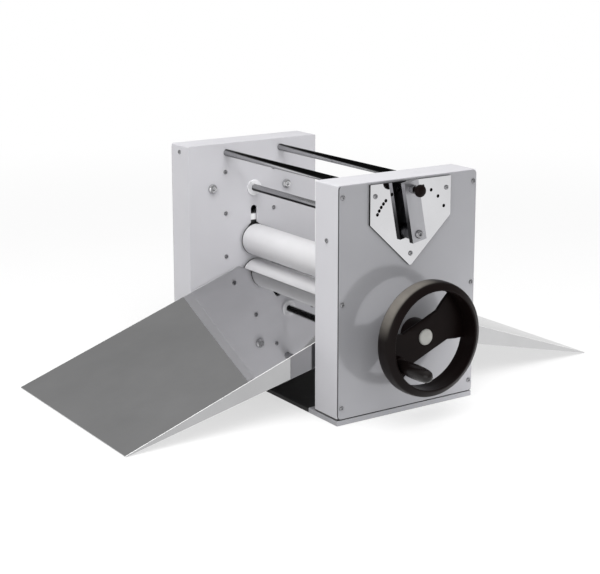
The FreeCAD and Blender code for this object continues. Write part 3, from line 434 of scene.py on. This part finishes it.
# Plinth: grey darkened as painted shade, for the handwheel's shadow on its side, with a lighter tone on its front
# faces
PLINTH_PAINT = painted("plinth_paint", (0.275, 0.275, 0.29), painted_front_tone=(0.3, 0.3, 0.315))
# Right housing: painted shadow lines, a painted crescent of shade, and painted shade darkening it towards the
# table
RIGHT_HOUSING_PAINT = painted("right_housing_paint", HOUSING_GREY, painted_shadows=True, shaded_low=True)
# Rear tray: the tray steel in other tones, darker top and lighter skirts, as painted reflection; painted highlight
# along the folds
REAR_TRAY_STEEL = polished("rear_tray_steel", (0.52, 0.52, 0.525), 0.06, (0.56, 0.56, 0.565), True)
# Index plate: bright polished face, with its edges painted dark as shadow
INDEX_STEEL = polished("index_steel", (0.05, 0.05, 0.05), 0.045, (0.65, 0.65, 0.665))
LEVER_METAL = lever_bar("lever_bar", (0.42, 0.42, 0.44))
# Handwheel rim: black, with a painted highlight on its outer barrel
RIM_PLASTIC = highlit_rim("rim_plastic", BLACK, (0.21, 0.195, 0.175))
BLOCK_PLASTIC = block_plastic("block_plastic", (0.86, 0.86, 0.87))
# Tie rods: painted dark reflection on their upper halves, spreading round toward +X; adjuster and tray rods: on
# their lower halves
TIE_STEEL = half_black("tie_steel", (0.56, 0.56, 0.57), 1, 4.5)
ROD_STEEL = half_black("rod_steel", (0.48, 0.48, 0.49), -1)
BOLT_STEEL = machined("bolt_steel", (0.60, 0.60, 0.61), 0.2)
FLANGE_PLASTIC = moulded("flange_plastic", (0.62, 0.62, 0.635), 0.5, 0.0, 0.3)


# Mesh helpers

def finish(piece, body, slot, replaced=(), material=None):
    if piece.name not in scene.collection.objects:
        scene.collection.objects.link(piece)
    piece.data.materials.clear()
    piece.data.materials.append(material or MATERIALS[slot])
    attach(piece, body)
    if replaced:
        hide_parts(*replaced)
    return piece


def mesh_piece(name, mesh, smooth_angle=35):
    data = bpy.data.meshes.new(name)
    bmesh.ops.recalc_face_normals(mesh, faces=mesh.faces)
    mesh.to_mesh(data)
    mesh.free()
    data.shade_smooth()
    data.set_sharp_from_angle(angle=math.radians(smooth_angle))
    return bpy.data.objects.new(name, data)


WELD_DISTANCE = 1e-6
FLAT_ANGLE = math.radians(0.5)
EDGE_ANGLE = 40
SPRING_ANGLE = 65
STUD_RADIUS = 3 * MM


def aim(direction):
    """Turn that takes +Z to a direction."""
    return Vector((0, 0, 1)).rotation_difference(Vector(direction)).to_matrix().to_4x4()


def add_rings(mesh, rings):
    """Skin a list of rings of equal length, each a list of points, and close both ends."""
    loops = [[mesh.verts.new(point) for point in ring] for ring in rings]
    count = len(loops[0])
    for below, above in zip(loops, loops[1:]):
        for index in range(count):
            after = (index + 1) % count
            mesh.faces.new((below[index], below[after], above[after], above[index]))
    mesh.faces.new(loops[0][::-1])
    mesh.faces.new(loops[-1])


def circle(radius, height, count=ROUND):
    turns = [2 * math.pi * i / count for i in range(count)]
    return [Vector((radius * math.cos(turn), radius * math.sin(turn), height)) for turn in turns]


def lathe(mesh, profile, centre, direction, count=ROUND):
    """Solid of revolution from (radius, height) pairs, standing at a centre along a direction."""
    move = Matrix.Translation(Vector(centre)) @ aim(direction)
    rings = [[move @ point for point in circle(radius, height, count)] for radius, height in profile]
    add_rings(mesh, rings)


def rounded_rod(mesh, radius, low, high, soft, centre_yz, count=ROUND):
    """Plain cylinder along X with rounded ends."""
    profile = [(radius - soft, 0), (radius - soft * 0.3, soft * 0.3), (radius, soft)]
    length = high - low
    profile += [(r, length - h) for r, h in reversed(profile)]
    lathe(mesh, profile, (low, *centre_yz), (1, 0, 0), count)


def islands(name):
    """Low and high corners of each separate solid in a CAD node."""
    mesh = nodes[name].data
    home = {}
    keys = [tuple(round(c, 6) for c in vertex.co) for vertex in mesh.vertices]

    def root(key):
        while home[key] != key:
            home[key] = home[home[key]]
            key = home[key]
        return key

    for key in keys:
        home.setdefault(key, key)
    for edge in mesh.edges:
        first, second = (root(keys[index]) for index in edge.vertices)
        home[first] = second
    groups = {}
    for key in home:
        groups.setdefault(root(key), []).append(key)
    corners = [(Vector(map(min, *points)), Vector(map(max, *points))) for points in groups.values()]
    return sorted(corners, key=lambda pair: tuple(pair[0]))


def measured(name):
    """Low corner, high corner and centre of a CAD node."""
    low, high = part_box(name)
    return low, high, (low + high) / 2


def copy_of(name):
    """Mesh of a CAD node, welded."""
    mesh = bmesh.new()
    mesh.from_mesh(nodes[name].data)
    mesh.transform(nodes[name].matrix_world)
    bmesh.ops.remove_doubles(mesh, verts=mesh.verts, dist=WELD_DISTANCE)
    return mesh


def refined(name, width, material=None):
    """Copy of a CAD node with merged flat faces and rounded edges, shown in its place."""
    mesh = copy_of(name)
    bmesh.ops.dissolve_limit(mesh, angle_limit=FLAT_ANGLE, verts=mesh.verts, edges=mesh.edges)
    piece = mesh_piece(f"{name}_refined", mesh, EDGE_ANGLE)
    bevel = piece.modifiers.new("bevel", "BEVEL")
    bevel.width = width
    bevel.segments = 3
    bevel.limit_method = "ANGLE"
    bevel.angle_limit = math.radians(EDGE_ANGLE)
    bevel.harden_normals = True
    bevel.use_clamp_overlap = True
    return finish(piece, body_of_node[name], slot_of_node[name], [name], material)


# CAD nodes that keep their shape

SOFT_EDGES = {
    "base_plate": 0.0008, "left_plinth_rail": 0.0006, "right_plinth_rail": 0.0006,
    "left_housing_shell": 0.0005, "right_housing_shell": 0.0005,
    "left_cover_plate": 0.0005, "right_cover_plate": 0.0005,
    "front_tray": 0.0007, "rear_tray": 0.0007, "index_plate": 0.0005, "lever_arm": 0.0009,
    "plunger_barrel": 0.0004, "left_bearing_block": 0.0005, "right_bearing_block": 0.0005,
}
OWN_FINISH = {
    "left_plinth_rail": PLINTH_PAINT, "right_plinth_rail": PLINTH_PAINT,
    "right_housing_shell": RIGHT_HOUSING_PAINT, "rear_tray": REAR_TRAY_STEEL,
    "index_plate": INDEX_STEEL, "lever_arm": LEVER_METAL, "lever_hub": MATERIALS["spring_steel"],
    "adjuster_bushes": FLANGE_PLASTIC,
    "left_bearing_block": BLOCK_PLASTIC, "right_bearing_block": BLOCK_PLASTIC,
}

for node_name, node_piece in nodes.items():
    node_piece.data.materials.clear()
    node_piece.data.materials.append(OWN_FINISH.get(node_name, MATERIALS[slot_of_node[node_name]]))
for node_name, edge_width in SOFT_EDGES.items():
    refined(node_name, edge_width, material=OWN_FINISH.get(node_name))


# Lift springs, copied smooth and left in place; on the machine they shorten with the upper carriage

def lift_springs(name):
    piece = mesh_piece(f"{name}_coils", copy_of(name), SPRING_ANGLE)
    scene.collection.objects.link(piece)
    piece.data.materials.append(MATERIALS[slot_of_node[name]])
    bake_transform(piece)
    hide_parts(name)


lift_springs("left_lift_springs")
lift_springs("right_lift_springs")


# Screws and bolts

def screw_head(mesh, foot, direction, radius, height):
    """Button head with a hexagon socket."""
    move = Matrix.Translation(foot) @ aim(direction)
    count = 36
    socket = radius * 0.42

    def hexagon(height_now):
        points = []
        for i in range(count):
            turn = 2 * math.pi * i / count
            away = socket * math.cos(math.pi / 6) / math.cos((turn % (math.pi / 3)) - math.pi / 6)
            points.append(Vector((away * math.cos(turn), away * math.sin(turn), height_now)))
        return points

    shape = [(0.92, 0.0), (1.0, 0.12), (1.0, 0.35), (0.95, 0.62), (0.84, 0.84), (0.66, 0.97), (0.52, 1.0)]
    rings = [circle(radius * r, height * h, count) for r, h in shape]
    rings += [hexagon(height), hexagon(height * 0.3)]
    add_rings(mesh, [[move @ point for point in ring] for ring in rings])


def screws(name, direction_of):
    mesh = bmesh.new()
    for low, high in islands(name):
        centre = (low + high) / 2
        direction = Vector(direction_of(centre))
        span = high - low
        height = abs(span.dot(direction))
        radius = max(span) / 2
        screw_head(mesh, centre - direction * height / 2, direction, radius, height)
    finish(mesh_piece(f"{name}_detail", mesh), body_of_node[name], "screw_steel", [name])


def sign(value):
    return 1 if value > 0 else -1


screws("cover_screws", lambda at: (sign(at.x), 0, 0))
screws("rail_screws", lambda at: (-sign(at.x), 0, 0))
screws("face_screws", lambda at: (0, sign(at.y), 0))
screws("index_screws", lambda at: (1, 0, 0))
screws("lever_screw", lambda at: (1, 0, 0))


def stud(mesh, foot, side, length):
    """Plain shank behind a wall."""
    lathe(mesh, [(STUD_RADIUS, 0), (STUD_RADIUS, length)], foot, (side, 0, 0), FEW_SIDES)


def dome_bolts():
    mesh = bmesh.new()
    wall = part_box("right_housing_shell")[0].x
    for low, high in islands("bridge_bolts"):
        side = sign(low.x + high.x)
        near, far = sorted((abs(low.x), abs(high.x)))
        foot = Vector((side * wall, (low.y + high.y) / 2, (low.z + high.z) / 2))
        screw_head(mesh, foot, (-side, 0, 0), (high.z - low.z) / 2, wall - near)
        stud(mesh, foot, side, far - wall)
    finish(mesh_piece("bridge_bolts_detail", mesh), "frame", "screw_steel", ["bridge_bolts"],
           BOLT_STEEL)


dome_bolts()


# Round bars, rollers and bushes

def round_bar(name, soft, material=None, count=ROUND):
    low, high, centre = measured(name)
    mesh = bmesh.new()
    rounded_rod(mesh, (high.z - low.z) / 2, low.x, high.x, soft, (centre.y, centre.z), count)
    finish(mesh_piece(f"{name}_detail", mesh), body_of_node[name], slot_of_node[name], [name], material)


for bar_name in ("adjuster_shaft", "front_tray_rod", "rear_tray_rod"):
    round_bar(bar_name, 0.6 * MM, ROD_STEEL)


def tie_rod(name):
    low, high, centre = measured(name)
    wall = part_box("right_housing_shell")[0].x
    mesh = bmesh.new()
    rounded_rod(mesh, (high.z - low.z) / 2, -wall, wall, 0.4 * MM, (centre.y, centre.z))
    for side in (-1, 1):
        stud(mesh, (side * wall, centre.y, centre.z), side, high.x - wall)
    finish(mesh_piece(f"{name}_detail", mesh), "frame", slot_of_node[name], [name], TIE_STEEL)


tie_rod("front_tie_rod")
tie_rod("rear_tie_rod")
for sleeve_name in ("upper_roller_sleeve", "lower_roller_sleeve"):
    round_bar(sleeve_name, 0.8 * MM, count=ROLLER_SIDES)


# Handwheel, handle and knobs

# Depth and radius round the rim, then sizes of the spoke plate, in millimetres
RIM_PROFILE = [
    (0, 64), (0, 66.5), (0.3, 68), (1.2, 70.4), (2.6, 72.5), (4.2, 73.9), (6.5, 74.7), (10, 75),
    (14, 75), (18, 74.85), (21.5, 74.3), (23.2, 73.7), (24.2, 73.0), (24.9, 72.1), (27.1, 68.3),
    (28.0, 66.8), (28.4, 65.9), (28.5, 65.3), (28.3, 64.6), (27.7, 64.1), (26.6, 64), (16, 64),
    (7, 64), (5.6, 63.7),
]
RIM_DEPTH = 28.5
BOSS_PROFILE = [
    (11, -2.5), (10.9, -0.4), (10.3, 0.4), (10, 1.4), (9.9, 6), (9.4, 6.8), (8.6, 7), (4.1, 7),
]
WEB_THICKNESS = 5
WINDOW_RADIUS = 63.5
SPOKE_HALF_WIDTH = 22.3
SPOKE_HALF_LENGTH = 33.5
SPOKE_ANGLE = math.radians(22.3)


def ring_solid(mesh, profile, start, count=ROUND * 2):
    """Closed ring about X from (depth, radius) pairs in millimetres."""
    loops = []
    for i in range(count):
        turn = 2 * math.pi * i / count
        spin = Vector((0, math.cos(turn), math.sin(turn)))
        points = [start + (Vector((depth, 0, 0)) + spin * radius) * MM for depth, radius in profile]
        loops.append([mesh.verts.new(point) for point in points])
    for here, there in zip(loops, loops[1:] + loops[:1]):
        for i in range(len(profile)):
            after = (i + 1) % len(profile)
            mesh.faces.new((here[i], here[after], there[after], there[i]))


def spoke_reach(turn):
    """Distance from the axis to the edge of the spoke plate, in millimetres."""
    across = abs(math.sin(turn))
    along = abs(math.cos(turn))
    reach = WINDOW_RADIUS + 1.5
    if across < 1e-6:
        return reach
    edge = SPOKE_HALF_WIDTH / across
    if along * edge <= SPOKE_HALF_LENGTH:
        return min(reach, edge)
    flare = (SPOKE_HALF_WIDTH - SPOKE_HALF_LENGTH) / (across - along) if across > along else reach
    return min(reach, flare) if flare > 0 else reach


def spoke_plate(mesh, start, thickness, edge=1.6):
    """Two-armed plate that flares out to the rim, with rounded edges."""
    count = 720
    span = 9
    raw = [spoke_reach(2 * math.pi * i / count) for i in range(count)]
    reach = [sum(raw[(i + step) % count] for step in range(-span // 2, span // 2 + 1)) / (span + 1)
             for i in range(count)]
    levels = [(-10, 0), (-edge, 0), (-0.3 * edge, 0.3 * edge), (0, edge), (0, thickness - edge),
              (-0.3 * edge, thickness - 0.3 * edge), (-edge, thickness), (-10, thickness)]
    rings = []
    for inset, depth in levels:
        ring = []
        for i, away in enumerate(reach):
            turn = 2 * math.pi * i / count + SPOKE_ANGLE
            radius = max(away + inset, 8)
            ring.append(start + Vector((depth, radius * math.cos(turn), radius * math.sin(turn))) * MM)
        rings.append(ring)
    add_rings(mesh, rings)


def joint_place(name):
    return next(joint for joint in frame["joints"] if joint["name"] == name)["pos_m"]


def wheel_piece(name, mesh, smooth_angle=30, material=None):
    finish(mesh_piece(name, mesh, smooth_angle), "lower_roller", "black_plastic", ["handwheel"], material)


def wheel_lathe(name, profile, foot, count=ROUND):
    mesh = bmesh.new()
    lathe(mesh, [(radius * MM, depth * MM) for radius, depth in profile], foot, (1, 0, 0), count)
    wheel_piece(name, mesh)


def handwheel():
    web_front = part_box("hub_cap")[0].x
    low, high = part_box("handwheel")
    rim = bmesh.new()
    ring_solid(rim, RIM_PROFILE, WHEEL_AXIS + Vector((high.x - RIM_DEPTH * MM, 0, 0)))
    wheel_piece("handwheel_rim", rim, 32, RIM_PLASTIC)

    web = bmesh.new()
    spoke_plate(web, WHEEL_AXIS + Vector((web_front - WEB_THICKNESS * MM, 0, 0)), WEB_THICKNESS)
    wheel_piece("handwheel_web", web)

    length = (web_front - low.x) / MM
    hub_profile = [(7.1, 0), (17, 0), (18.6, 0.5), (19.6, 1.6), (20, 3.2),
                   (20, length - 6), (20.6, length - 5)]
    wheel_lathe("handwheel_hub", hub_profile, (low.x, WHEEL_AXIS.y, WHEEL_AXIS.z))
    handle = joint_place("handle_spin")
    wheel_lathe("handwheel_boss", BOSS_PROFILE, (web_front, handle[1], handle[2]), KNOB_SIDES)


handwheel()


# Share of the length and share of the radius
CAP_SHAPE = [(0.0, 1.0), (0.35, 1.0), (0.75, 0.97), (1.0, 0.9), (1.0, 0.6), (1.0, 0.1)]
GRIP_SHAPE = [
    (0.0, 0.70), (0.02, 0.76), (0.06, 0.83), (0.15, 0.89), (0.3, 0.96), (0.5, 1.0), (0.7, 0.97),
    (0.85, 0.88), (0.92, 0.74), (0.965, 0.54), (0.99, 0.3), (1.0, 0.06),
]
KNOB_SHAPE = [
    (0.0, 0.42), (0.05, 0.45), (0.28, 0.45), (0.36, 0.5), (0.46, 0.82), (0.54, 0.97), (0.62, 1.0),
    (0.74, 0.98), (0.86, 0.86), (0.95, 0.62), (0.99, 0.36), (1.0, 0.08),
]


def turned_knob(name, shape, smooth_angle, material=None):
    """Turned form in place of a CAD node."""
    low, high, centre = measured(name)
    length = high.x - low.x
    radius = (high.z - low.z) / 2
    mesh = bmesh.new()
    lathe(mesh, [(radius * share, length * rise) for rise, share in shape], (low.x, centre.y, centre.z),
          (1, 0, 0), KNOB_SIDES)
    finish(mesh_piece(f"{name}_detail", mesh, smooth_angle), body_of_node[name], slot_of_node[name],
           [name], material)


turned_knob("hub_cap", CAP_SHAPE, 35)
turned_knob("handle_grip", GRIP_SHAPE, 50, GRIP_PLASTIC)
turned_knob("plunger_knob", KNOB_SHAPE, 50)


# Black discs in the index holes: painted shade for the shade inside them

INDEX_ANGLES = (62, 57, 52, 47, 42, 31, 20, 11, -4, -18, -32, -46, -62)
INDEX_RADIUS = 60 * MM
HOLE_RADIUS = 2.25 * MM
HOLE_SHADE_RISE = 0.3 * MM


def hole_shades():
    mesh = bmesh.new()
    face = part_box("right_cover_plate")[1].x
    pivot = joint_place("thickness_lever")
    for angle in INDEX_ANGLES:
        lean = math.radians(angle)
        y = pivot[1] - INDEX_RADIUS * math.sin(lean)
        z = pivot[2] + INDEX_RADIUS * math.cos(lean)
        lathe(mesh, [(HOLE_RADIUS, 0), (HOLE_RADIUS, HOLE_SHADE_RISE)], (face, y, z), (1, 0, 0), 24)
    finish(mesh_piece("index_hole_floors", mesh), "frame", "base_paint")


hole_shades()


# Stage, light and camera

FLOOR_REACH = 30
FLOOR_DROP = 0.2 * MM
PAPER_FADE = (0.5, 2.2)
MACHINE_MIDDLE = (0, 0, 0.15)


def floor():
    """White paper: lit near the machine, evenly white far away."""
    mesh = bmesh.new()
    bmesh.ops.create_grid(mesh, x_segments=1, y_segments=1, size=FLOOR_REACH)
    plane = mesh_piece("floor", mesh)
    plane.location.z = -FLOOR_DROP
    plane.visible_shadow = False
    scene.collection.objects.link(plane)
    shader = Shader("floor_paper").constant(Roughness=0.9, Specular_IOR_Level=0.1)
    shader.colour(shader.ramp(shader.noise(1.5, 2), 0.2, 0.8, grey(0.90), grey(0.92)))
    glow = shader.add("ShaderNodeEmission")
    path = shader.add("ShaderNodeLightPath")
    seen = path.outputs["Is Camera Ray"]
    for kind in ("Is Glossy Ray", "Is Transmission Ray"):
        total = shader.add("ShaderNodeMath", operation="ADD", use_clamp=True)
        shader.link(seen, total.inputs[0])
        shader.link(path.outputs[kind], total.inputs[1])
        seen = total.outputs["Value"]
    shader.link(shader.between(seen, 0.33, 1.0), glow.inputs["Strength"])
    far = shader.add("ShaderNodeVectorMath", operation="LENGTH")
    shader.link(shader.place, far.inputs[0])
    share = shader.between(shader.step(far.outputs["Value"], *PAPER_FADE), 0.6, 1.0)
    blend = shader.add("ShaderNodeMixShader")
    shader.link(share, blend.inputs["Fac"])
    shader.link(shader.surface.outputs["BSDF"], blend.inputs[1])
    shader.link(glow.outputs["Emission"], blend.inputs[2])
    output = next(node for node in shader.tree.nodes if node.type == "OUTPUT_MATERIAL")
    shader.link(blend.outputs["Shader"], output.inputs["Surface"])
    plane.data.materials.append(shader.material)


def sky():
    """Studio: white horizon, grey walls and ceiling."""
    world = bpy.data.worlds.new("studio")
    world.use_nodes = True
    tree = world.node_tree
    place = tree.nodes.new("ShaderNodeTexCoord")
    split = tree.nodes.new("ShaderNodeSeparateXYZ")
    ramp = tree.nodes.new("ShaderNodeValToRGB")
    stops = [(0.0, 0.7), (0.06, 0.62), (0.16, 0.38), (0.6, 0.36), (0.78, 0.62), (1.0, 0.8)]
    elements = ramp.color_ramp.elements
    while len(elements) < len(stops):
        elements.new(0.5)
    for element, (position, value) in zip(elements, stops):
        element.position = position
        element.color = (*grey(value), 1)
    tree.links.new(place.outputs["Generated"], split.inputs["Vector"])
    tree.links.new(split.outputs["Z"], ramp.inputs["Fac"])
    tree.links.new(ramp.outputs["Color"], tree.nodes["Background"].inputs["Color"])
    scene.world = world


def area_light(name, place, target, width, height, power, mirrored=True, spared=()):
    """Soft lamp; pieces named as spared get none of its light."""
    light = bpy.data.lights.new(name, "AREA")
    light.shape = "RECTANGLE"
    light.size = width
    light.size_y = height
    light.energy = power
    lamp = bpy.data.objects.new(name, light)
    lamp.location = place
    lamp.rotation_euler = (Vector(target) - Vector(place)).to_track_quat("-Z", "Y").to_euler()
    lamp.visible_glossy = mirrored
    lamp.visible_camera = False
    scene.collection.objects.link(lamp)
    if spared:
        group = bpy.data.collections.new(f"{name}_spares")
        lamp.light_linking.receiver_collection = group
        for piece_name in spared:
            group.objects.link(bpy.data.objects[piece_name])
        for member in group.collection_objects:
            member.light_linking.link_state = "EXCLUDE"


def camera():
    data = bpy.data.cameras.new("camera")
    data.sensor_width = SENSOR_WIDTH
    data.lens = FOCAL_PIXELS * SENSOR_WIDTH / IMAGE_WIDTH
    data.shift_x = (IMAGE_WIDTH / 2 - PRINCIPAL_PIXEL[0]) / IMAGE_WIDTH
    data.shift_y = (PRINCIPAL_PIXEL[1] - IMAGE_HEIGHT / 2) / IMAGE_WIDTH
    data.clip_end = 100
    eye = bpy.data.objects.new("camera", data)
    azimuth = math.radians(CAMERA_AZIMUTH)
    elevation = math.radians(CAMERA_ELEVATION)
    forward = Vector((-math.sin(azimuth) * math.cos(elevation), math.cos(azimuth) * math.cos(elevation),
                      -math.sin(elevation)))
    eye.location = CAMERA_PLACE
    turn = forward.to_track_quat("-Z", "Y") @ Quaternion((0, 0, 1), math.radians(CAMERA_ROLL))
    eye.rotation_euler = turn.to_euler()
    scene.collection.objects.link(eye)
    scene.camera = eye


floor()
sky()
area_light("top_softbox", (0.85, -0.6, 2.3), MACHINE_MIDDLE, 2.6, 2.6, 64, False)
area_light("front_softbox", (1.6, -2.3, 0.75), MACHINE_MIDDLE, 3.0, 2.0, 22)
area_light("side_lamp", (1.99, 1.25, -0.36), (0.21, 0, 0.14), 0.2, 0.2, 20, False,
           ["left_housing_shell_refined"])
area_light("edge_softbox", (0.33, 0.22, 0.04), (0.25, 0, 0.07), 0.1, 0.08, 0.3, False,
           ["right_housing_shell_refined", "rear_tray_refined", "face_screws_detail"])
camera()
scene.view_settings.view_transform = "Standard"
